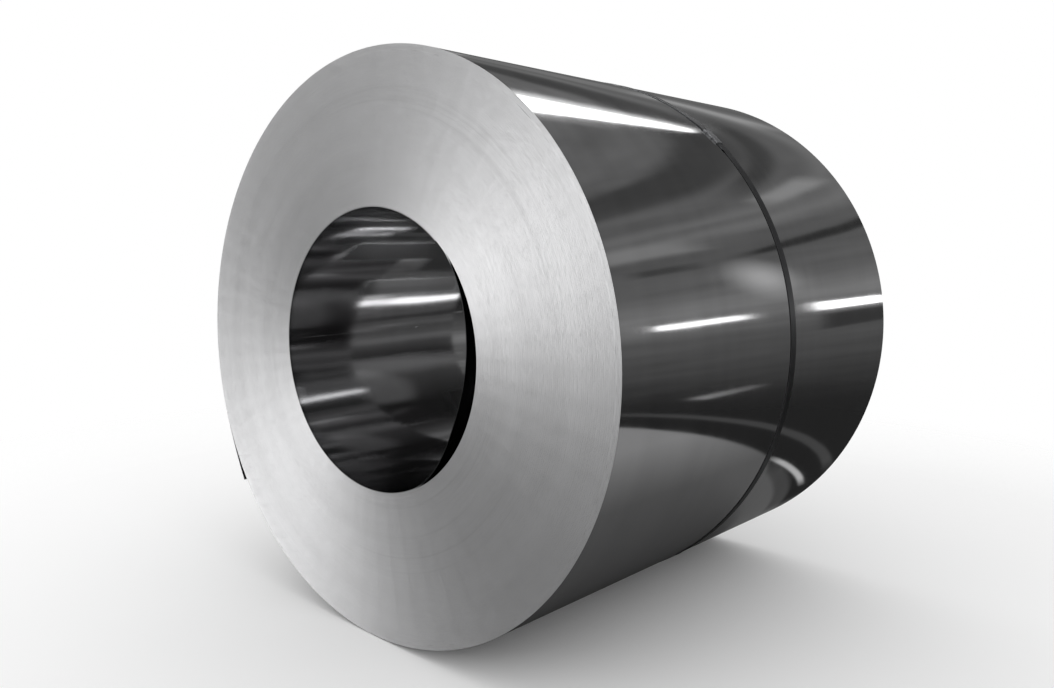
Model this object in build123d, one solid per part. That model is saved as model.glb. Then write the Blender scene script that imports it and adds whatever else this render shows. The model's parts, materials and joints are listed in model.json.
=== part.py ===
"""Steel strip wound into a coil, lying on its side with one steel strap round it.

The coil's axis runs along Y at a height that puts the strap on the floor, z = 0.
Angles are in degrees about that axis, seen from the near end (-Y):
0 points to +X and 90 points up, so they grow anticlockwise.
"""
from build123d import *
import math
import os

os.makedirs("parts", exist_ok=True)

# The wound strip
eye_diameter = 508.0
outer_diameter = 1056.0
strip_width = 963.6
strip_thickness = 1.5

# The turns on the ends: bands of turns that wandered a little along the axis
turn_bands = 15
turn_wander = 1.4
wander_stride = 4
wander_cycle = 7

# The strip's outer end, sprung off the coil
tail_start_angle = -160.0
tail_length = 155.0
tail_lift = 9.0

# The strap and its crimped seal
strap_width = 19.0
strap_thickness = 0.8
strap_seat_gap = 0.3
strap_offset = 48.0
strap_lap_before = 16.0
strap_lap_after = 42.0
seal_angle = 47.0
seal_length = 38.0
seal_gauge = 1.0
seal_clearance = 0.15
crimp_count = 2
crimp_pitch = 16.0
crimp_radius = 3.0
crimp_depth = 1.6

# Sizes that follow from those above
eye_radius = eye_diameter / 2
outer_radius = outer_diameter / 2
coil_length = strip_width + turn_wander
near_end = -coil_length / 2
far_end = coil_length / 2
axis_height = outer_radius + strap_seat_gap + strap_thickness
tail_radius = 1 / (1 / outer_radius - 2 * tail_lift / tail_length**2)
tail_end_angle = tail_start_angle + math.degrees(tail_length / tail_radius)


def polar(radius, angle, centre=(0.0, 0.0)):
    """The point at a radius and an angle round a centre, in a section across the axis."""
    turn = math.radians(angle)
    return (centre[0] + radius * math.cos(turn), centre[1] + radius * math.sin(turn))


# The sprung tail follows a flatter arc that leaves the coil's circle tangentially
tail_centre = polar(tail_radius - outer_radius, tail_start_angle + 180)
tail_tip = polar(tail_radius, tail_end_angle, tail_centre)
tip_distance = math.hypot(*tail_tip)
tip_angle = math.degrees(math.atan2(tail_tip[1], tail_tip[0]))
landing_angle = tip_angle + math.degrees(math.acos(outer_radius / tip_distance))


def arc(radius, start, end, centre=(0.0, 0.0)):
    """An arc through three points, from one angle to another round a centre."""
    middle = (start + end) / 2
    return ThreePointArc(
        polar(radius, start, centre), polar(radius, middle, centre), polar(radius, end, centre)
    )


def ring_sector(inner, outer, start, end, centre=(0.0, 0.0)):
    """A flat piece of ring between two radii and two angles."""
    with BuildSketch(Plane.XZ) as sketch:
        with BuildLine():
            arc(outer, start, end, centre)
            Line(polar(outer, end, centre), polar(inner, end, centre))
            arc(inner, end, start, centre)
            Line(polar(inner, start, centre), polar(outer, start, centre))
        make_face()
    return sketch.sketch


def wander(band):
    """How far a band of turns sits in from the near end of the coil."""
    return turn_wander * ((wander_stride * band) % wander_cycle) / (wander_cycle - 1)


def turned_ends():
    """The space that the turns fill, with their bands stepping in and out on both ends."""
    reach = outer_radius + 2 * tail_lift
    step = (outer_radius - eye_radius) / turn_bands
    near_side, far_side = [], []
    for band in range(turn_bands):
        inner = eye_radius + band * step
        outer = reach if band == turn_bands - 1 else inner + step
        start = near_end + wander(turn_bands - 1 - band)
        near_side += [(inner, start), (outer, start)]
        far_side += [(inner, start + strip_width), (outer, start + strip_width)]
    with BuildPart() as ends:
        with BuildSketch(Plane.XY):
            with BuildLine():
                Polyline(*near_side, *reversed(far_side), close=True)
            make_face()
        revolve(axis=Axis.Y)
    return ends.part


def wound_outline():
    """The coil's outline across its axis: a circle, and the tail that leaves it."""
    inner_arc_radius = tail_radius - strip_thickness
    offset = tail_radius - outer_radius
    # The tail's inner face leaves the circle where the two circles cross
    cosine = (inner_arc_radius**2 - outer_radius**2 - offset**2) / (2 * outer_radius * offset)
    leave_angle = tail_start_angle + math.degrees(math.acos(cosine))
    leave_point = polar(outer_radius, leave_angle)
    from_centre = (leave_point[0] - tail_centre[0], leave_point[1] - tail_centre[1])
    leave_turn = math.degrees(math.atan2(from_centre[1], from_centre[0]))
    with BuildSketch(Plane.XZ) as sketch:
        with BuildLine():
            arc(outer_radius, leave_angle, 20)
            arc(outer_radius, 20, tail_start_angle + 360)
            arc(tail_radius, tail_start_angle, tail_end_angle, tail_centre)
            Line(tail_tip, polar(inner_arc_radius, tail_end_angle, tail_centre))
            arc(inner_arc_radius, tail_end_angle, leave_turn, tail_centre)
        make_face()
    return sketch.sketch


def coil():
    """The wound strip as one solid: the tailed outline, cut to the turned ends and the eye."""
    body = extrude(wound_outline(), amount=coil_length, both=True)
    return Pos(0, 0, axis_height) * (body & turned_ends())


def strap_loop(clearance):
    """The path that a taut strap takes round the coil and over the tail's tip."""
    with BuildSketch(Plane.XZ) as sketch:
        with BuildLine():
            arc(outer_radius + clearance, landing_angle, 20)
            arc(outer_radius + clearance, 20, tail_start_angle + 360)
            arc(tail_radius + clearance, tail_start_angle, tail_end_angle, tail_centre)
            arc(clearance, tail_end_angle, landing_angle, tail_tip)
            Line(polar(clearance, landing_angle, tail_tip),
                 polar(outer_radius + clearance, landing_angle))
        make_face()
    return sketch.sketch


def along_coil(length):
    """The angle that a length takes up on the coil's surface."""
    return math.degrees(length / outer_radius)


strap_inside = outer_radius + strap_seat_gap
lap_top = strap_inside + 2 * strap_thickness


def strap():
    """The steel band, with its upper end lapped over the lower one under the seal."""
    band = strap_loop(strap_seat_gap + strap_thickness) - strap_loop(strap_seat_gap)
    lap = ring_sector(
        strap_inside + strap_thickness,
        lap_top,
        seal_angle - along_coil(strap_lap_before + seal_length / 2),
        seal_angle + along_coil(strap_lap_after + seal_length / 2),
    )
    solid = extrude(band + lap, amount=strap_width / 2, both=True)
    return Pos(0, strap_offset, axis_height) * solid


def seal():
    """The seal: a channel folded over both layers of strap and notched by the crimping tool."""
    half_angle = along_coil(seal_length / 2)
    start, end = seal_angle - half_angle, seal_angle + half_angle
    inner_half = strap_width / 2 + seal_clearance
    outer_half = inner_half + seal_gauge
    top = lap_top + seal_clearance + seal_gauge
    shell = extrude(ring_sector(strap_inside, top, start, end), amount=outer_half, both=True)
    hollow = extrude(
        ring_sector(strap_inside - seal_gauge, top - seal_gauge, start - 1, end + 1),
        amount=inner_half,
        both=True,
    )
    body = shell - hollow
    for crimp in range(crimp_count):
        along = (crimp - (crimp_count - 1) / 2) * crimp_pitch
        turn = seal_angle + along_coil(along)
        for side in (-1, 1):
            edge = side * (outer_half + crimp_radius - crimp_depth)
            notch = Pos(0, edge, 0) * Cylinder(crimp_radius, 4 * seal_gauge + 4 * strap_thickness)
            body -= Rot(0, 90 - turn, 0) * Pos(0, 0, top) * notch
    return Pos(0, strap_offset, axis_height) * body


pieces = {"coil": coil(), "strap": strap(), "strap_seal": seal()}
for name, piece in pieces.items():
    export_step(piece, f"parts/{name}.step")
    print(name, "solids", len(piece.solids()), "volume", round(piece.volume))
print("tail tip lifts", round(tip_distance - outer_radius, 2), "at", round(tip_angle, 1), "degrees")
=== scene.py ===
# %% [markdown]
# # A coil of steel strip, dressed for its picture
# The coil is one long steel strip wound on itself, held by one thin steel strap. Its sizes and its
# place come from a fixed frame of solids. This lesson makes the strip, the strap and its seal as
# surfaces worked out from formulas, and then their finishes, the studio and the camera.
# The coil's axis runs along Y. Angles are measured round it, seen from the near end (-Y), with 0
# towards +X and 90 degrees up, so they grow anticlockwise.

# %% Load the frame and read the driving sizes
import json
import math

import bpy
import numpy as np
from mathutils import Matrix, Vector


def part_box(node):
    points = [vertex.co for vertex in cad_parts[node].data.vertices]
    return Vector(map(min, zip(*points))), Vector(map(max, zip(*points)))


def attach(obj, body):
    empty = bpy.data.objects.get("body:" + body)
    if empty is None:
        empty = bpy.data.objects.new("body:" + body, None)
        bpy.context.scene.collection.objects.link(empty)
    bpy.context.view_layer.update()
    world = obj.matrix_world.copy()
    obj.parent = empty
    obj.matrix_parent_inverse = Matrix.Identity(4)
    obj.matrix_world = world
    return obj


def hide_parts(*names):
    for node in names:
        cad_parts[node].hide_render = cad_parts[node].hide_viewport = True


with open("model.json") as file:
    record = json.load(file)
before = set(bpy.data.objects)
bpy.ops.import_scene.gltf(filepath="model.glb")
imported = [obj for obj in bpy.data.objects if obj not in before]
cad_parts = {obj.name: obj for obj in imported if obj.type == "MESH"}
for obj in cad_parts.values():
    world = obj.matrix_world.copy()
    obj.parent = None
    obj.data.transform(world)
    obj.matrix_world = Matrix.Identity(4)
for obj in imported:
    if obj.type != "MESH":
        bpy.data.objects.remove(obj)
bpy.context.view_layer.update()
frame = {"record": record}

MM = 0.001
mounts = {mount["name"]: mount for mount in frame["record"]["mounts"]}
coil_low, coil_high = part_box("coil")
strap_low, strap_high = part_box("strap")
eye_radius = mounts["eye"]["dims"]["r_mm"] * MM
axis_height = mounts["eye"]["pos_m"][2]
outer_radius = (coil_high[2] - coil_low[2]) / 2
coil_length = coil_high[1] - coil_low[1]
strap_middle = (strap_low[1] + strap_high[1]) / 2
strap_width = strap_high[1] - strap_low[1]
print("coil", round(2 * outer_radius, 4), "across,", round(coil_length, 4), "long")

# %% [markdown]
# ## A skin over a row of rings
# The strip, the strap and the seal are each a small section carried a long way. A curve with a
# bevel could carry it, but couldn't change its shape on the way. Here the path gives one parameter
# of the surface and the corners of the section give the other, so one helper joins any such grid
# into a closed mesh. The section's corners run from the near side to the far side along the outer
# face, so that every face points outwards.


# %% The skin helper
def skin(name, rings, finishes, sharp_corners, finish_of_corner=None):
    """A closed mesh over rings[i, j]: each quad joins ring i to ring i + 1 and corner j to corner
    j + 1, the section closes on itself, and the first and last rings are capped. Lengthwise edges
    are sharp at the corners named, and so are the caps' edges; the rest are smooth."""
    count, corners = rings.shape[:2]
    ring = np.arange(count - 1)[:, None] * corners
    corner = np.arange(corners)[None, :]
    after = (corner + 1) % corners
    ahead = ring + corners
    quads = np.stack([ring + corner, ring + after, ahead + after, ahead + corner], -1)
    quads = quads.reshape(-1, 4)
    first_cap = np.arange(corners)[::-1]
    last_cap = np.arange(corners) + (count - 1) * corners
    loops = np.concatenate([quads.ravel(), first_cap, last_cap])
    sizes = np.concatenate([np.full(len(quads), 4), [corners, corners]])
    mesh = bpy.data.meshes.new(name)
    mesh.vertices.add(count * corners)
    mesh.vertices.foreach_set("co", rings.astype(np.float32).ravel())
    mesh.loops.add(len(loops))
    mesh.loops.foreach_set("vertex_index", loops.astype(np.int32))
    mesh.polygons.add(len(sizes))
    mesh.polygons.foreach_set("loop_start", (np.cumsum(sizes) - sizes).astype(np.int32))
    if finish_of_corner is not None:
        index = np.tile(np.asarray(finish_of_corner), count - 1)
        index = np.concatenate([index, [max(finish_of_corner)] * 2])
        mesh.polygons.foreach_set("material_index", index.astype(np.int32))
    mesh.update(calc_edges=True)
    mesh.validate()
    mesh.shade_smooth()
    mark_sharp_edges(mesh, count, corners, sharp_corners)
    for finish in finishes:
        mesh.materials.append(finish)
    piece = bpy.data.objects.new(name, mesh)
    bpy.context.scene.collection.objects.link(piece)
    print(name, "faces", len(mesh.polygons))
    return piece


def mark_sharp_edges(mesh, count, corners, sharp_corners):
    """Marks an edge sharp where it runs lengthwise along a named corner, or lies on a cap."""
    ends = np.empty(2 * len(mesh.edges), np.int32)
    mesh.edges.foreach_get("vertices", ends)
    ends = ends.reshape(-1, 2)
    lengthwise = abs(ends[:, 0] - ends[:, 1]) == corners
    on_cap = (ends.max(1) < corners) | (ends.min(1) >= (count - 1) * corners)
    sharp = (lengthwise & np.isin(ends[:, 0] % corners, sharp_corners)) | on_cap
    marks = mesh.attributes.new("sharp_edge", "BOOLEAN", "EDGE")
    marks.data.foreach_set("value", sharp)


# %% [markdown]
# ## The strip's path
# Strip of about 1.5 mm, which is a guess, runs from the eye to the tail in about 181 turns. It could
# be a turned solid with rings drawn on its ends, but a spiral costs no more and shows the edge of
# every turn: its radius grows by one pitch for each turn. Its edge wanders a little along the axis,
# its last hand's length springs off the coil as the tail, and a stretch of the innermost turn has
# sprung inwards, which leaves the dark crescent in the eye. A place on the strip is counted in turns
# from its inner end, so each of these is a formula of one number.

# %% The winding's sizes
tail_angle = math.radians(-143.3)
inner_end_angle = math.radians(50.0)
whole_turns = 181
strip_gap = 0.06 * MM

turns = whole_turns + ((tail_angle - inner_end_angle) / (2 * math.pi)) % 1
# The coil stands on the turn that passes below the axis, a part of a turn before the tail, and the
# outer radius is measured there.
past_the_floor = (tail_angle / (2 * math.pi) + 0.25) % 1
pitch = (outer_radius - eye_radius + strip_gap) / (turns + 1 - past_the_floor)
strip_thickness = pitch - strip_gap
print("strip", round(strip_thickness / MM, 3), "mm thick,", round(turns, 2), "turns")

# %% Places along the strip
steps_per_turn = (240, 120, 60, 120, 240)
finer_turns = (2.25, 6.0)


def path_steps():
    """Places along the strip, in turns from its inner end: close together on the turns that show
    their faces, and further apart towards the middle of the winding, where nothing shows it. Each
    stretch stops just short of the next one's first place, so that none comes twice."""
    whole = math.floor(turns)
    limits = [0, *finer_turns, *(whole - turn for turn in reversed(finer_turns)), turns]
    stretches = zip(steps_per_turn, limits, limits[1:])
    places = [np.arange(first, last - 1e-6, 1 / steps) for steps, first, last in stretches]
    return np.concatenate([*places, [turns]])


def fullness(place):
    """What each ring's radius is multiplied by. A chord's middle lies inside its arc, so coarser
    turns are made larger until their chords reach it: one over the cosine of half a step. This
    grows from none at the inner turns to all of it at the outer ones, under which a gap would
    show."""
    step = np.diff(place, append=place[-1] + 1 / steps_per_turn[-1])
    return 1 + place / turns * (1 / np.cos(math.pi * step) - 1)


print("rings along the strip", len(path_steps()))

# %% Where the strip leaves the plain spiral
tail_length = 155 * MM
tail_lift = 10 * MM
sprung_angle = math.radians(-20.0)
sprung_depth = 26 * MM
sprung_above, sprung_below = math.radians(64.0), math.radians(46.0)
fuller_above, fuller_below = 0.6, 0.95
wander_most = 1.4 * MM
# Each wave: its size as a part of the most, its radians for each turn, and where it starts.
wander_waves = ((0.3, 0.071, 0.0), (0.12, 0.163, 1.0), (0.03, 8.9, 0.0), (0.02, 13.7, 2.0))


def turned_from(angle, middle):
    """The turn from the middle to an angle, between minus and plus half a turn."""
    return (angle - middle + math.pi) % (2 * math.pi) - math.pi


def sprung_in(place):
    """How far the innermost turn has sprung inwards: half a cosine wave, shorter below its middle
    and longer above it, and made fuller by a power under 1."""
    away = turned_from(inner_end_angle + 2 * math.pi * place, sprung_angle)
    reach = np.where(away > 0, sprung_above, sprung_below)
    hump = 0.5 + 0.5 * np.cos(math.pi * np.clip(away / reach, -1, 1))
    return sprung_depth * hump ** np.where(away > 0, fuller_above, fuller_below) * (place < 1)


def tail_rise(place):
    """How far the tail has sprung outwards: the square of the way along it."""
    way = np.clip(1 - (turns - place) * 2 * math.pi * outer_radius / tail_length, 0, 1)
    return tail_lift * way**2


def inner_face(place):
    """The radius of the strip's inner face: one pitch more for each turn, and the tail's rise."""
    return eye_radius + pitch * place + tail_rise(place)


def wander(place):
    """How far the strip's edge sits in from the end of the coil: half of the most, and sine waves
    whose lengths aren't whole numbers of turns, so that neighbouring turns differ a little."""
    waves = sum(size * np.sin(place * rate + start) for size, rate, start in wander_waves)
    return wander_most * np.clip(0.5 + waves, 0, 1)


print("tail's tip", round(float(inner_face(turns)) / MM, 1), "mm from the axis")

# %% [markdown]
# ## Shader maths as plain expressions
# A finish is a formula over the surface. It could be wired by hand, node by node, but then nobody
# can read it. Wrapping a socket in a small class lets the formula be written as one, such as
# `1 - mask * 0.3`, and each operator adds its Math node.


# %% The shader value
class Value:
    """A shader socket. Sums, products and powers of these add Math nodes to the same tree."""

    def __init__(self, tree, socket=None):
        self.tree, self.socket = tree, socket

    def node(self, kind, settings=None, inputs=None, output=0):
        """Adds a node: its settings first, then each input's value or link; gives its output."""
        made = self.tree.nodes.new(kind)
        for name, setting in (settings or {}).items():
            if name == "stops":
                while len(made.color_ramp.elements) < len(setting):
                    made.color_ramp.elements.new(0.5)
                for stop, (place, shade) in zip(made.color_ramp.elements, setting):
                    stop.position, stop.color = place, (shade, shade, shade, 1)
            else:
                setattr(made, name, setting)
        for key, given in (inputs or {}).items():
            if isinstance(given, Value):
                self.tree.links.new(given.socket, made.inputs[key])
            else:
                made.inputs[key].default_value = given
        return Value(self.tree, made.outputs[output] if made.outputs else None)

    def maths(self, operation, *given):
        return self.node("ShaderNodeMath", {"operation": operation}, dict(enumerate(given)))

    def __add__(self, other):
        return self.maths("ADD", self, other)

    def __sub__(self, other):
        return self.maths("SUBTRACT", self, other)

    def __rsub__(self, other):
        return self.maths("SUBTRACT", other, self)

    def __mul__(self, other):
        return self.maths("MULTIPLY", self, other)

    def __truediv__(self, other):
        return self.maths("DIVIDE", self, other)

    def __pow__(self, other):
        return self.maths("POWER", self, other)

    __radd__ = __add__
    __rmul__ = __mul__

    def clamped(self):
        return self.node("ShaderNodeClamp", None, {"Value": self})


# %% Starting and ending a finish
def new_finish(name):
    """An empty node material, and a Value to grow its formula from."""
    material = bpy.data.materials.new(name)
    material.use_nodes = True
    material.node_tree.nodes.clear()
    return material, Value(material.node_tree)


def finish_surface(start, shader):
    """Links a shader to the material's output."""
    start.node("ShaderNodeOutputMaterial", None, {"Surface": shader})


def tinted(start, tone, green=1.0, blue=1.0):
    """A colour whose red is the tone, and whose green and blue are that many times the tone."""
    return start.node("ShaderNodeCombineColor", None, {0: tone, 1: tone * green, 2: tone * blue})


def bumped(start, height):
    """A normal tilted by a height, which is in metres."""
    return start.node("ShaderNodeBump", None, {
        "Strength": 1.0, "Distance": 1.0, "Height": height})


# %% Places, noise and soft steps
def place_of(start):
    """The three Object coordinates of the place that is shaded."""
    place = start.node("ShaderNodeTexCoord", output=3)
    apart = start.node("ShaderNodeSeparateXYZ", None, {0: place}).socket.node.outputs
    return tuple(Value(start.tree, apart[i]) for i in range(3))


def coil_coordinates(start):
    """The distance from the coil's axis, the angle round it in turns, and the place along it."""
    across, along, height = place_of(start)
    up = height - axis_height
    radius = (across * across + up * up) ** 0.5
    angle = start.maths("ARCTAN2", up, across) / (2 * math.pi)
    return radius, angle, along


def noise(start, x, y, z, detail=2.0, roughness=0.5):
    """Noise, 0 to 1, over three numbers, each already scaled to the size of its grain."""
    point = start.node("ShaderNodeCombineXYZ", None, {0: x, 1: y, 2: z})
    settings = {"noise_dimensions": "3D"}
    inputs = {"Vector": point, "Scale": 1.0, "Detail": detail, "Roughness": roughness}
    return start.node("ShaderNodeTexNoise", settings, inputs)


def rising(value, start, width):
    """0 before the start, and a straight rise to 1 over the width after it."""
    return ((value - start) / width).clamped()


def falling(value, start, width):
    """1 before the start, and a straight fall to 0 over the width after it."""
    return 1 - rising(value, start, width)


def band_of(value, middle, half_width, softness):
    """1 within half a width of the middle, falling to 0 over the softness."""
    return falling(value.maths("ABSOLUTE", value - middle), half_width, softness)


# %% [markdown]
# ## The strip's bright faces
# The rolled faces of the strip are nearly a mirror: they show the studio as long streaks along the
# coil. Painted streaks would stay put when the view changes, so the metal is plain and smooth, and
# what it mirrors makes them. The rolls leave hairlines along the strip, which run round the coil,
# and the sheet is never quite flat, so the reflections waver. Hairlines and waviness are bump,
# because they are far thinner than the strip. The rough scuffs deep in the eye, darkened with
# painted shade, and the painted shade at the eye's near opening are a guess: they hold back mirror
# images that would be too bright there.

# %% Bright rolled steel
# Each scuff, rougher and darkened with painted shade: its middle and half width in degrees, and its
# middle and half width as parts of the way along the coil.
eye_shaded_scuffs = (
    (-131, 13, 0.58, 0.16),
    (-73.5, 9.5, 0.77, 0.18),
    (-114, 16, 0.88, 0.12),
)
scuff_edge_turns, scuff_edge_way = 0.006, 0.04
# Painted shade darkens each scuff; its added roughness is the scuff's own.
scuff_painted_shade, scuff_roughness = 0.7, 0.25
# Painted shade darkens the eye's inner turns near its opening, over this depth and by this share.
mouth_shade_depth, mouth_shade_darkness = 9 * MM, 0.6
rolled_tone, rolled_roughness = 0.54, 0.05
band_tone, hairline_tone, film_tone = 0.09, 0.03, 0.06
band_roughness, film_roughness = 0.04, 0.02
hairline_depth, wave_depth = 0.004 * MM, 1.2 * MM
steel_blue = 1.01


def shaded_scuffs(angle, along):
    """1 on each scuff of the eye, which painted shade darkens, and 0 off them."""
    way = (along - coil_low[1]) / coil_length
    return sum(
        band_of(angle, middle / 360, half / 360, scuff_edge_turns)
        * band_of(way, place, reach, scuff_edge_way)
        for middle, half, place, reach in eye_shaded_scuffs
    ).clamped()


def rolled_face():
    """Metal whose tone is a base, plus shares of a slow band, a hairline and a film of oil, less
    where painted shade darkens the scuff patches and the eye's near opening. Its roughness grows
    with the same band, film and scuff patches. Each noise has so many grains a turn, a metre along
    and a metre out."""
    material, start = new_finish("rolled_face")
    radius, angle, along = coil_coordinates(start)
    in_eye = falling(radius, eye_radius + pitch, pitch)
    # Painted shade: the eye's inner turns darken near the opening and on the scuffs deep inside.
    mouth_shade = in_eye * falling(along, coil_low[1], mouth_shade_depth)
    scuffed_and_shaded = in_eye * shaded_scuffs(angle, along)
    film = noise(start, angle * 30.0, along * 9.0, radius * 3.0, detail=4.0) - 0.5
    hairline = noise(start, angle * 3.0, along * 900.0, radius * 40.0)
    band = noise(start, angle * 1.5, along * 22.0, radius * 3.0)
    wave = noise(start, angle * 9.0, along * 2.6, radius * 2.0, detail=1.0)
    tone = rolled_tone + band * band_tone + hairline * hairline_tone + film * film_tone
    tone = tone * (1 - scuffed_and_shaded * scuff_painted_shade) * (1 - mouth_shade * mouth_shade_darkness)
    roughness = rolled_roughness + band * band_roughness + film * film_roughness
    shader = start.node("ShaderNodeBsdfPrincipled", None, {
        "Base Color": tinted(start, tone, blue=steel_blue),
        "Metallic": 1.0,
        "Roughness": roughness + scuffed_and_shaded * scuff_roughness,
        "Normal": bumped(start, hairline * hairline_depth + wave * wave_depth),
    })
    finish_surface(start, shader)
    return material


bright_faces = rolled_face()
print(bright_faces.name, "nodes", len(bright_faces.node_tree.nodes))

# %% [markdown]
# ## The strip's slit edges
# The ends of the coil show nothing but slit edges, one beside the other. Each is slightly domed, and
# the dome turns the light outwards and inwards but never round the coil, which is why the end shines
# in two opposite fans. The dome is in the mesh. A texture could only have painted the fans, and
# they would then stay put in other light. The finish adds burrs and a tone for each turn.

# %% Satin slit edges
edge_tone, edge_roughness = 0.56, 0.385
turn_tone, cloud_tone, dark_arc_tone = 0.05, 0.05, 0.08
turn_roughness, cloud_roughness = 0.04, 0.03
dark_arc_from, dark_arc_width = 0.6, 0.2
inmost_tone = 0.06
burr_depth = 0.06 * MM


def slit_edge():
    """Metal whose tone is a base, plus a share of a noise that differs from turn to turn and of a
    cloud, less on some arcs, and nearly black on the innermost turn, which stands in the eye's
    shade. Each noise has so many grains a metre out and a turn, and its own third number."""
    material, start = new_finish("slit_edge")
    radius, angle, along = coil_coordinates(start)
    turn = noise(start, radius * 420.0, angle * 1.3, 0.0, detail=3.0, roughness=0.7)
    cloud = noise(start, radius * 45.0, angle * 40.0, 3.0, detail=3.0)
    arc = noise(start, radius * 75.0, angle * 2.6, 11.0)
    burr = noise(start, radius * 2400.0, angle * 60.0, 0.0)
    dark_arc = rising(arc, dark_arc_from, dark_arc_width)
    tone = edge_tone + turn * turn_tone + cloud * cloud_tone - dark_arc * dark_arc_tone
    # Painted shade: the innermost turn's edges are darkened nearly to black.
    on_coil = rising(radius, eye_radius, 2 * pitch)
    tone = tone * (inmost_tone + on_coil**0.5 * (1 - inmost_tone))
    shader = start.node("ShaderNodeBsdfPrincipled", None, {
        "Base Color": tinted(start, tone, blue=steel_blue),
        "Metallic": 1.0,
        "Roughness": edge_roughness + turn * turn_roughness + cloud * cloud_roughness,
        "Normal": bumped(start, burr * burr_depth),
    })
    finish_surface(start, shader)
    return material


satin_edges = slit_edge()
print(satin_edges.name, "nodes", len(satin_edges.node_tree.nodes))

# %% [markdown]
# ## The wound strip
# The strip's section is a thin oblong whose two short sides are domed. A bevel could round them,
# but over all these turns it would cost many more faces than one crest line with smooth shading.
# Only the near part of the innermost turn springs inwards, so the faces are split along their
# length, and the split lies where the spring ends. The tail is nothing extra: it is the same strip
# on its risen path.

# %% The strip
edge_dome = 0.5 * MM
edge_crest = 0.40
sprung_reach = 190 * MM


def round_the_axis(radius, angle, along):
    """Points at a radius and an angle (radians) round the coil's axis, and a place along Y:
    x = radius cos(angle), y = along, z = axis height + radius sin(angle)."""
    radius, angle, along = np.broadcast_arrays(radius, angle, along)
    return np.stack([radius * np.cos(angle), along, axis_height + radius * np.sin(angle)], -1)


def wound_strip():
    """Rings of eight corners: the outer face in two parts, the domed far edge, the inner face in
    two parts, and the domed near edge. A dome's crest lies a part of the thickness out from the
    inner face."""
    place = path_steps()
    angle = inner_end_angle + 2 * math.pi * place
    inside = inner_face(place) * fullness(place)
    outside = inside + strip_thickness
    crest = inside + edge_crest * strip_thickness
    sprung = sprung_in(place)
    near = coil_low[1] + wander(place)
    far = near + coil_length - wander_most
    corners = [
        (outside - sprung, near + edge_dome), (outside, near + sprung_reach),
        (outside, far - edge_dome), (crest, far), (inside, far - edge_dome),
        (inside, near + sprung_reach), (inside - sprung, near + edge_dome), (crest - sprung, near),
    ]
    rings = np.stack([round_the_axis(radius, angle, along) for radius, along in corners], 1)
    finish_of_corner = [0, 0, 1, 1, 0, 0, 1, 1]
    finishes = [bright_faces, satin_edges]
    return skin("wound_strip", rings, finishes, [0, 1, 2, 4, 5, 6], finish_of_corner)


strip = wound_strip()
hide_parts("coil")
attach(strip, "root")

# %% [markdown]
# ## The strap's path
# One band of blued steel goes round the coil, over the tail's tip and once more over its own end,
# where the seal grips both layers. A shrink-wrapped ring would follow the tail into its corner, but
# a taut band doesn't: it runs straight from the tip to where it meets the coil again. So its path
# is the strip's outer face, except for that straight stretch.

# %% The path of a taut band
strap_thickness = 0.8 * MM
strap_clearance = axis_height - outer_radius - strap_thickness


def on_the_coil(angle):
    """The radius of the coil's outermost face at an angle. On the straight stretch it is the
    radius where the band lands, over the cosine of the turn still to go."""
    back = ((tail_angle - angle) / (2 * math.pi)) % 1
    face = inner_face(turns - back) + strip_thickness
    tip = float(inner_face(turns)) + strip_thickness
    under = float(inner_face(turns - 1)) + strip_thickness
    stretch = math.acos(under / tip)
    to_go = turned_from(tail_angle + stretch, angle)
    straight = under / np.cos(np.clip(to_go, 0, stretch))
    return np.where((to_go > 0) & (to_go < stretch), straight, face)


print("strap's clearance", round(strap_clearance / MM, 2), "mm")

# %% [markdown]
# ## Blued steel
# Strapping is cold-rolled and heated until it turns blue-black, which leaves a thin uneven scale on
# bright metal. It could be dark paint, but then it would stay dark where the steel beside it shines.
# So it is a dark metal, and its Specular Tint is lowered, or it would turn white at its far side.

# %% Blued steel, for the strap and the seal
blued_least, blued_spread = 0.7, 0.6
blued_green, blued_blue = 1.01, 1.04
scale_roughness = 0.14
scale_depth, streak_depth = 0.03 * MM, 0.01 * MM
blued_edge_tint = (0.6, 0.6, 0.6, 1)


def blued_steel(name, tone, roughness):
    """Metal whose tone is taken times a least share, plus a spread that follows an uneven scale.
    Its roughness grows with the scale, and its bump is the scale and fine drawn streaks."""
    material, start = new_finish(name)
    radius, angle, along = coil_coordinates(start)
    scale = noise(start, angle * 300.0, along * 240.0, radius * 90.0, detail=4.0)
    streak = noise(start, angle * 40.0, along * 2200.0, radius * 10.0)
    uneven = tone * (blued_least + scale * blued_spread)
    shader = start.node("ShaderNodeBsdfPrincipled", None, {
        "Base Color": tinted(start, uneven, blued_green, blued_blue),
        "Metallic": 1.0,
        "Roughness": roughness + scale * scale_roughness,
        "Specular Tint": blued_edge_tint,
        "Normal": bumped(start, scale * scale_depth + streak * streak_depth),
    })
    finish_surface(start, shader)
    return material


strap_finish = blued_steel("blued_strap", tone=0.18, roughness=0.26)
# The seal's tone, well above the strap's, is lifted to show a painted glint.
seal_finish = blued_steel("blued_seal", tone=0.42, roughness=0.28)
print(strap_finish.name, "nodes", len(strap_finish.node_tree.nodes))

# %% [markdown]
# ## The strap
# A flat band with eased edges. It starts a little before the seal, goes once round, climbs by its
# own thickness just before it meets its start, and ends a little past the seal on top of itself. A
# closed ring with a short piece laid on it would look alike, but one band that climbs on itself is
# what the real strap is, and the same formula makes it. The crimping tool has bitten round notches
# into both layers.

# %% The crimps
seal_angle = math.radians(47.0)
crimp_pitch = 16 * MM
crimp_depth = 1.6 * MM
crimp_half = 3.0 * MM


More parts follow.
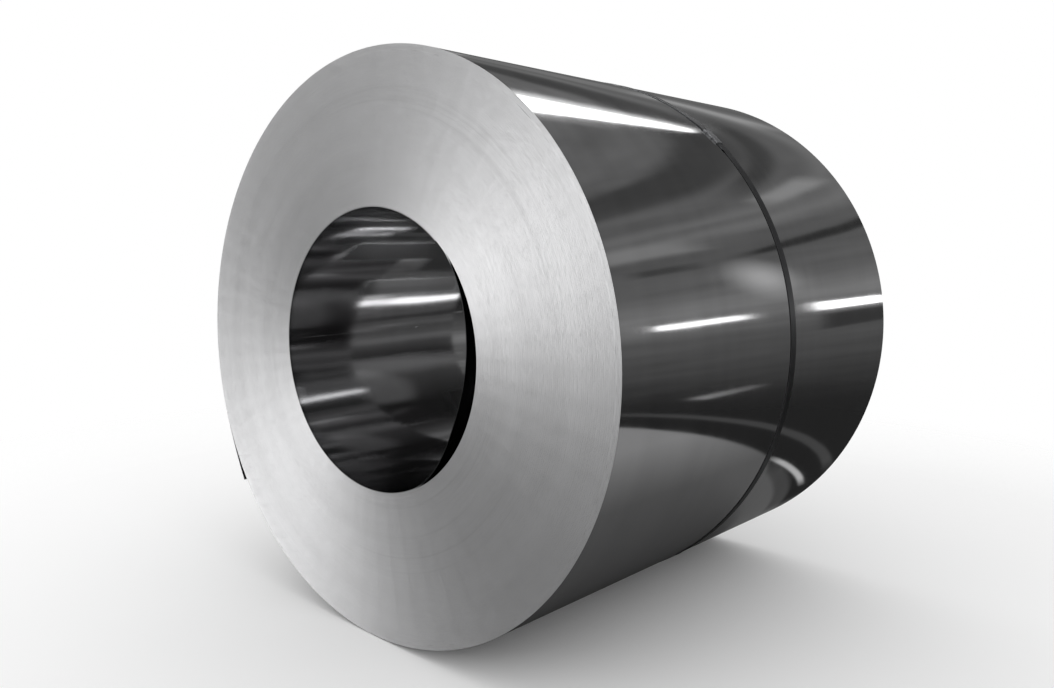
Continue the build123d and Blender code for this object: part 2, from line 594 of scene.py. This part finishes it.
def crimps(angle):
    """How far the crimping tool pushed the edges in: a round notch at each bite."""
    along = turned_from(angle, seal_angle) * outer_radius
    bites = [along - crimp_pitch / 2, along + crimp_pitch / 2]
    return sum(crimp_depth * np.sqrt(np.clip(1 - (bite / crimp_half) ** 2, 0, 1)) for bite in bites)


bite_angle = seal_angle + crimp_pitch / 2 / outer_radius
print("crimps", round(float(crimps(bite_angle)) / MM, 2), "mm deep")

# %% The strap
seal_length = 38 * MM
lap_before, lap_after = 16 * MM, 42 * MM
lap_gap = 0.1 * MM
climb_length = 20 * MM
strap_corner = 0.15 * MM
strap_steps = 900


def smooth_step(value):
    """0 below 0, 1 above 1, and 3 v^2 - 2 v^3 between."""
    value = np.clip(value, 0, 1)
    return value * value * (3 - 2 * value)


def strap_band():
    """Rings of eight corners, an oblong with cut corners, from the lower end once round and on
    over itself. Its height over the coil climbs by one thickness in a smooth step."""
    start = seal_angle - (lap_before + seal_length / 2) / outer_radius
    end = seal_angle + (lap_after + seal_length / 2) / outer_radius + 2 * math.pi
    angle = np.linspace(start, end, strap_steps)
    climb = smooth_step((angle - start - 2 * math.pi) * outer_radius / climb_length + 1)
    inside = on_the_coil(angle) + strap_clearance + climb * (strap_thickness + lap_gap)
    outside = inside + strap_thickness
    half = strap_width / 2 - crimps(angle)
    ease = strap_corner
    corners = [
        (outside, -half + ease), (outside, half - ease), (outside - ease, half),
        (inside + ease, half), (inside, half - ease), (inside, -half + ease),
        (inside + ease, -half), (outside - ease, -half),
    ]
    rings = np.stack([round_the_axis(r, angle, strap_middle + side) for r, side in corners], 1)
    return skin("strap_band", rings, [strap_finish], range(8))


band = strap_band()
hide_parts("strap")
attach(band, "root")

# %% [markdown]
# ## The seal
# A short channel of thicker steel, folded over both layers of the strap and crimped with them. Two
# boxes cut from each other would do for a straight one, but this one is bent round the coil, so it
# is a channel's section carried along the strap's path, and notched where the strap is.

# %% The crimped seal
seal_gauge = 1.0 * MM
seal_corner = 0.5 * MM
seal_steps = 80


def crimped_seal():
    """Rings of ten corners: the top from near to far, cut off at its two edges, down the far wall,
    back through the hollow, and up the near wall."""
    half_angle = seal_length / 2 / outer_radius
    angle = np.linspace(seal_angle - half_angle, seal_angle + half_angle, seal_steps)
    foot = on_the_coil(angle) + strap_clearance
    roof = foot + 2 * strap_thickness + 2 * lap_gap
    top = roof + seal_gauge
    inner = strap_width / 2 + lap_gap - crimps(angle)
    outer = inner + seal_gauge
    ease = seal_corner
    corners = [
        (top, -outer + ease), (top, outer - ease), (top - ease, outer), (foot, outer),
        (foot, inner), (roof, inner), (roof, -inner), (foot, -inner),
        (foot, -outer), (top - ease, -outer),
    ]
    rings = np.stack([round_the_axis(r, angle, strap_middle + side) for r, side in corners], 1)
    return skin("crimped_seal", rings, [seal_finish], range(10))


grip = crimped_seal()
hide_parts("strap_seal")
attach(grip, "root")

# %% [markdown]
# ## The studio
# Bright steel has hardly a colour of its own: it shows the room. The camera sees a white sweep, but
# a coil that mirrored only white would be a white shape on white. So the steel mirrors a hall: a
# dome far out, painted in soft bands like walls, beams and a roof, which only mirrored rays meet.
# An image of a real hall could do it, but bands in a formula can be set where the streaks need them.


# %% The white sweep
def sweep():
    """Plain white, at strength 1, for every kind of ray."""
    world = bpy.data.worlds.new("sweep")
    bpy.context.scene.world = world
    world.use_nodes = True
    world.node_tree.nodes.clear()
    start = Value(world.node_tree)
    background = start.node("ShaderNodeBackground", None, {"Color": (1, 1, 1, 1), "Strength": 1.0})
    start.node("ShaderNodeOutputWorld", None, {"Surface": background})
    return world


white = sweep()
print("world", white.name)


# %% Things that only the steel mirrors
def mirrored_only(piece):
    """Hides a staged piece from every ray but a glossy one."""
    piece.visible_camera = False
    piece.visible_diffuse = False
    piece.visible_transmission = False
    piece.visible_volume_scatter = False
    piece.visible_shadow = False


def plain_mesh(name, points, faces, material):
    """An object from a list of points and faces, with one finish."""
    mesh = bpy.data.meshes.new(name)
    mesh.from_pydata(points, [], faces)
    mesh.materials.append(material)
    piece = bpy.data.objects.new(name, mesh)
    bpy.context.scene.collection.objects.link(piece)
    return piece


# %% The hall
hall_radius = 14.0
# Each band: how far up, in degrees, and its brightness.
hall_bands = (
    (-20, 0.03), (-13, 0.05), (-5, 0.10), (-1, 0.12), (1, 0.17), (5, 0.26), (8, 0.20), (10, 0.15),
    (15, 0.13), (19, 0.13), (21, 0.22), (22, 0.16), (23, 0.21), (24.5, 0.13), (27, 0.17),
    (28.3, 0.075), (31.7, 0.065), (33, 0.16), (38, 0.15), (45, 0.25), (60, 0.5), (90, 0.85),
)
hall_top, hall_rows, hall_columns = 89, 45, 72
hall_waver_degrees, hall_mottle = 1.5, 0.8
hall_behind_camera, hall_front = 1.7, 0.3 * hall_radius


def circle(count):
    """So many angles, evenly round a circle, in radians."""
    return np.linspace(0, 2 * math.pi, count, endpoint=False)


def hall_dome():
    """Quads on a sphere: radius cos(up) cos(turn), radius cos(up) sin(turn), radius sin(up)."""
    rows = np.radians(np.linspace(-hall_top, hall_top, hall_rows))
    up, turn = np.meshgrid(rows, circle(hall_columns), indexing="ij")
    points = np.stack([np.cos(up) * np.cos(turn), np.cos(up) * np.sin(turn), np.sin(up)], -1)
    index = np.arange(up.size).reshape(up.shape)
    beside = np.roll(index, -1, axis=1)
    faces = np.stack([index[:-1], index[1:], beside[1:], beside[:-1]], -1).reshape(-1, 4)
    return (points.reshape(-1, 3) * hall_radius).tolist(), faces.tolist()


def hall_glow():
    """A glow by how far up a place is, in bands that waver and mottle, and brighter behind the
    camera, where the near end looks."""
    material, start = new_finish("hall_bands")
    material.cycles.emission_sampling = "NONE"
    x, y, z = place_of(start)
    degrees = start.maths("ARCSINE", (z - axis_height) / hall_radius) * (180 / math.pi)
    uneven = noise(start, x * 0.4, y * 0.4, z * 2.4, detail=5.0, roughness=0.6) - 0.5
    low, high = hall_bands[0][0], hall_bands[-1][0]
    level = (degrees + uneven * hall_waver_degrees - low) / (high - low)
    stops = [((up - low) / (high - low), tone) for up, tone in hall_bands]
    bands = start.node("ShaderNodeValToRGB", {"stops": stops}, {"Fac": level})
    behind = falling(y, -hall_front, hall_front)
    tone = bands * (1 + uneven * hall_mottle) * (1 + behind * (hall_behind_camera - 1))
    finish_surface(start, start.node("ShaderNodeEmission", None, {"Color": tone, "Strength": 1.0}))
    return material


hall = plain_mesh("hall", *hall_dome(), hall_glow())
mirrored_only(hall)
print("hall", 2 * hall_radius, "m across, in", len(hall_bands), "bands")

# %% [markdown]
# ## The floor, and what the steel shows of it
# The floor is plain and pale, and keeps the coil's shadow. The steel mirrors a floor of its own: the
# sheet that the coil stands on, with painted light making it brighter on the right, as under a
# window, with a pale trim along its far edge and a darker hall floor behind it. One floor could do
# both only if it were as dark as the steel shows it. So there are two discs of one size, and both
# fade out towards their rims, so that neither has an edge against the sweep.

# %% A floor that fades out
floor_clear, floor_edge = 1.5, 2.4
floor_corners = 96
floor_tone = 0.95


def disc(name, height, tone_over):
    """A flat disc at a height, whose tone is a formula of x and y, and which fades out at its
    rim."""
    angle = circle(floor_corners)
    rim = np.stack([np.cos(angle) * floor_edge, np.sin(angle) * floor_edge, 0 * angle + height], -1)
    material, start = new_finish(name)
    x, y, z = place_of(start)
    distance = (x * x + y * y) ** 0.5
    fade = rising(distance, floor_clear, floor_edge - floor_clear)
    pale = start.node("ShaderNodeBsdfDiffuse", None, {"Color": tinted(start, tone_over(x, y))})
    clear = start.node("ShaderNodeBsdfTransparent")
    finish_surface(start, start.node("ShaderNodeMixShader", None, {0: fade, 1: pale, 2: clear}))
    return plain_mesh(name, rim.tolist(), [list(range(len(rim)))], material)


pale_floor = disc("pale_floor", 0.0, lambda x, y: 0 * x + floor_tone)
pale_floor.visible_glossy = False
print("floor", 2 * floor_edge, "m across")

# %% The floor that the steel mirrors
# Tones of the sheet and its painted glow of light on the right, and of what lies beyond it.
sheet_tone, sheet_glow = 0.16, 0.17
ledge_tone, hall_floor_tone = 0.09, 0.025
left_tone, far_left_tone, doorstep_tone = 0.07, 0.16, 0.15
trim_tone, stripe_tone, patch_tone = 0.65, 0.06, 0.6
# Places along x or y: where a change starts and how wide it is.
sheet_end, sheet_step, sheet_blur = 0.70, 0.075, 0.025
glow_side, step_side = (0.60, 0.35), (0.50, 0.10)
ledge_line, ledge_side = (0.70, 0.03), (0.48, 0.10)
left_side, far_left_side = (-0.20, 0.50), (-0.50, 0.25)
doorstep_front, doorstep_back, doorstep_side = (0.0, 0.10), (0.90, 0.08), (0.17, 0.10)
stripe_side = (0.35, 0.08)
# Bands along x or y: their middle, half width and softness.
trim_slant, trim_line, trim_side = 0.34, (0.905, 0.012, 0.012), (0.46, 0.07, 0.06)
stripe_line = (0.95, 0.025, 0.02)
patch_line, patch_side = (1.6, 0.2, 0.08), (1.375, 0.03, 0.03)
hall_floor_height = 0.5 * MM


def mirrored_tones(x, y):
    """The sheet, painted brighter to the right as if lit, ends in a step. Beyond it come a ledge on
    the left of the step, the hall's floor, which is paler on the left and on a doorstep just past
    the sheet there, a slanting trim, a stripe, and a painted patch of light on the right."""
    sheet = sheet_tone + rising(x, *glow_side) * sheet_glow
    ends_at = sheet_end - sheet_step * falling(x, *step_side)
    past_sheet = rising(y - ends_at, -sheet_blur / 2, sheet_blur)
    ledge = falling(y, *ledge_line) * falling(x, *ledge_side)
    left = falling(x, *left_side) * left_tone + falling(x, *far_left_side) * far_left_tone
    doorstep = falling(x, *doorstep_side) * rising(y, *doorstep_front) * falling(y, *doorstep_back)
    beyond = hall_floor_tone + ledge * (ledge_tone - hall_floor_tone)
    beyond = beyond + left * (1 - ledge) + doorstep * doorstep_tone
    trim = band_of(y + x * trim_slant, *trim_line) * band_of(x, *trim_side)
    stripe = band_of(y, *stripe_line) * rising(x, *stripe_side)
    patch = band_of(y, *patch_line) * band_of(x, *patch_side)
    marks = trim * trim_tone + stripe * stripe_tone + patch * patch_tone
    return sheet + past_sheet * (beyond - sheet) + marks


hall_floor = disc("hall_floor", hall_floor_height, mirrored_tones)
mirrored_only(hall_floor)
print(hall_floor.name, "nodes", len(hall_floor.active_material.node_tree.nodes))

# %% [markdown]
# ## The lights that the steel mirrors
# The streaks along the coil are mirror images of bright things: a skylight over the far end, which
# narrows away from the coil, two windows beside it with a dark wall under the far one, and a
# doorway. Lamps would light the floor as well, so each is a glowing card that only mirrored rays
# meet, placed where the camera's line of sight goes once the steel has turned it. Where the steel
# shows a soft edge, the card fades towards its rim.

# %% Glowing cards
crisp = 0.001


def card(name, corners, brightness, fade=crisp):
    """A flat fan of triangles round its middle that glows and lights nothing but mirrored rays. Its
    attribute "inward" runs from 0 at the rim to 1 at the middle, and the glow fades out over the
    outer part of that way."""
    material, start = new_finish(name)
    inward = start.node("ShaderNodeAttribute", {"attribute_name": "inward"}, output=2)
    glow = start.node("ShaderNodeEmission", None, {"Color": (1, 1, 1, 1), "Strength": brightness})
    clear = start.node("ShaderNodeBsdfTransparent")
    shown = rising(inward, 0.0, fade)
    finish_surface(start, start.node("ShaderNodeMixShader", None, {0: shown, 1: clear, 2: glow}))
    count = len(corners)
    points = [*map(tuple, corners), tuple(np.mean(corners, axis=0))]
    faces = [(corner, (corner + 1) % count, count) for corner in range(count)]
    piece = plain_mesh(name, points, faces, material)
    way_in = piece.data.attributes.new("inward", "FLOAT", "POINT")
    way_in.data.foreach_set("value", [0.0] * count + [1.0])
    mirrored_only(piece)


# %% The skylight
skylight_height = 6.0
# Each pane: its name, its height over the others, brightness, fade, and corners seen from above.
skylight_panes = (
    ("skylight", 0.0, 3.3, 0.12, (
        (-2.05, 5.2), (-2.05, 5.8), (-1.62, 9.3), (-1.35, 9.3), (-0.95, 5.8), (-0.95, 5.2))),
    ("skylight_near_end", 0.0, 3.0, crisp, (
        (-1.85, 3.0), (-2.15, 5.2), (-1.25, 5.2), (-1.25, 3.0))),
    ("skylight_dusty_end", 0.0, 0.6, crisp, (
        (-2.05, 3.0), (-2.35, 5.2), (-2.15, 5.2), (-1.85, 3.0))),
    ("skylight_side_pane", 0.0, 1.0, 0.3, (
        (-1.25, 4.2), (-1.25, 5.2), (-0.40, 5.2), (-0.40, 4.2))),
    ("skylight_outer_glow", 0.05, 0.8, 0.7, (
        (-2.65, 3.0), (-2.60, 6.5), (-1.90, 9.9), (-1.50, 9.9), (-1.50, 3.0))),
    ("skylight_inner_glow", 0.10, 0.4, 0.7, (
        (-1.50, 3.0), (-1.50, 8.5), (-0.55, 7.2), (-0.55, 3.0))),
)
for name, rise, brightness, fade, plan in skylight_panes:
    card(name, [(x, y, skylight_height + rise) for x, y in plan], brightness, fade)
print("skylight in", len(skylight_panes), "panes")

# %% The windows and the doorway
# Each window: its name, brightness, the wall's x, and how far it reaches along and up that wall.
windows = (
    ("near_window", 2.6, 5.0, (6.75, 8.65), (0.87, 1.05)),
    ("far_window", 3.0, 2.5, (4.86, 6.20), (0.71, 0.88)),
    ("under_far_window", 0.05, 2.5, (4.9, 8.0), (0.30, 0.62)),
)
for name, brightness, wall, (start_y, end_y), (low, high) in windows:
    card(name, [(wall, start_y, low), (wall, end_y, low),
                (wall, end_y, high), (wall, start_y, high)], brightness)

doorway_middle = (2.75, 5.0, 1.62)
doorway_half_width, doorway_half_height = 0.31, 0.57
doorway_corners, doorway_brightness, doorway_fade = 32, 0.55, 0.8
turn = circle(doorway_corners)
doorway = np.stack([doorway_half_width * np.cos(turn), 0 * turn,
                    doorway_half_height * np.sin(turn)], -1) + doorway_middle
card("doorway", doorway.tolist(), doorway_brightness, doorway_fade)
print("windows", len(windows), "and a doorway")

# %% [markdown]
# ## Far-off parts of the hall
# A roof beam, the lights in the roof, and the bright and dim bays of the walls could each have a
# place in metres too, but they are so far off that only their direction shows. So each card is
# placed by that alone: degrees round from +Y towards +X, and degrees up.

# %% Cards by their direction
far_off = 12.0


def towards(azimuth, elevation):
    """The point far off from the axis' middle in a direction: azimuth from +Y towards +X."""
    azimuth, elevation = math.radians(azimuth), math.radians(elevation)
    flat = far_off * math.cos(elevation)
    return (flat * math.sin(azimuth), flat * math.cos(azimuth),
            axis_height + far_off * math.sin(elevation))


# Each part: its name, brightness, fade, and corners as directions.
roof_parts = (
    ("roof_beam", 0.035, 0.3, (
        (26, 15.2), (26, 16.0), (20, 17.2), (8, 18.3), (8, 16.7), (20, 15.6))),
    ("roof_light", 6.0, 0.35, ((25, 41.0), (25, 46.0), (12, 50.5), (12, 43.5))),
    ("dim_roof_light", 2.2, 0.5, ((13, 47), (13, 51.5), (-5, 51.5), (-5, 46.5))),
)
for name, brightness, fade, ways in roof_parts:
    card(name, [towards(*way) for way in ways], brightness, fade)
print("parts of the roof", len(roof_parts))

# %% The bays of the hall
bay_fade = 0.5
# Each bay: its left, right, low and high limits in degrees, and its brightness.
bays = (
    (4, 15, 23.0, 25.2, 0.34), (-20, 16, 25.2, 27.4, 0.06), (-29, -13, 20.9, 23.8, 0.36),
    (25, 36, 18.2, 21.9, 0.28), (28, 34, 14.6, 16.4, 0.07), (42, 47, 14.0, 20.0, 0.45),
    (51, 58, -19.0, -8.0, 0.45), (35, 42, 29.0, 33.0, 0.20), (1, 6, 43.5, 47.5, 0.45),
    (-38, -33, 38.5, 44.0, 0.85), (-57, -49.5, 8.5, 14.0, 0.9), (-52, -45, 17.5, 20.5, 0.32),
    (-48, -41, 30.0, 35.0, 0.25), (44, 50, 32.0, 36.0, 0.25), (-44.3, -42.2, 21.0, 23.8, 0.35),
)
for number, (left, right, low, high, brightness) in enumerate(bays, 1):
    corners = ((left, low), (right, low), (right, high), (left, high))
    card(f"bay_{number}", [towards(*way) for way in corners], brightness, bay_fade)
print("bays", len(bays))

# %% [markdown]
# ## The lamp
# One soft box before the near end, low and to the left, fills the end with light. The domed edges
# spread it into the two fans. A small near lamp would do so too, but unevenly, so it is large and
# far off.

# %% Soft box
box_place = (-4.64, -10.76, 2.11)
box_width, box_height = 7.6, 4.7
box_brightness = 4.25


def soft_box(name, place, aim, width, height, brightness):
    """A rectangular lamp, turned to face its aim. Its power is its brightness times its area
    times pi."""
    light = bpy.data.lights.new(name, "AREA")
    light.shape = "RECTANGLE"
    light.size, light.size_y = width, height
    light.energy = brightness * width * height * math.pi
    piece = bpy.data.objects.new(name, light)
    bpy.context.scene.collection.objects.link(piece)
    across, ahead, rise = np.array(aim, float) - np.array(place, float)
    piece.location = place
    piece.rotation_euler = (math.atan2(math.hypot(across, ahead), -rise), 0,
                            math.atan2(-across, ahead))
    return piece


near_end_middle = (0.0, coil_low[1], axis_height)
lamp = soft_box("front_box", box_place, near_end_middle, box_width, box_height, box_brightness)
print(lamp.name, "power", round(lamp.data.energy), "W")

# %% [markdown]
# ## The camera
# The camera stands close and a little above the axis, off the near end's right side, so the near
# end shows as a tall ellipse and the coil narrows quickly behind it. A long lens from far off would
# flatten the coil. The lens is shifted a little, as the framing needs. Light is turned up to a
# dozen times on its way through the eye, so mirrored light may bounce that often.

# %% Camera
# The camera's place is in outer radii from the middle of the near end, its turns are in degrees,
# and its focal length and shift are in pixels of the picture.
camera_from_near_end = (2.28469, -1.91067, 0.37671)
camera_yaw, camera_pitch = 46.06, -5.54
picture_width = 1054.0
focal_pixels = 885.4
centre_shift = (94.1, 19.6)

camera = bpy.data.cameras.new("camera")
camera.sensor_width = 36.0
camera.lens = camera.sensor_width * focal_pixels / picture_width
camera.shift_x = centre_shift[0] / picture_width
camera.shift_y = -centre_shift[1] / picture_width
viewer = bpy.data.objects.new("camera", camera)
bpy.context.scene.collection.objects.link(viewer)
viewer.location = (
    camera_from_near_end[0] * outer_radius,
    coil_low[1] + camera_from_near_end[1] * outer_radius,
    axis_height + camera_from_near_end[2] * outer_radius,
)
viewer.rotation_euler = (math.radians(90 + camera_pitch), 0, math.radians(camera_yaw))
bpy.context.scene.camera = viewer
bpy.context.scene.view_settings.view_transform = "Standard"
bpy.context.scene.cycles.glossy_bounces = 12
print("lens", round(camera.lens, 2), "mm")
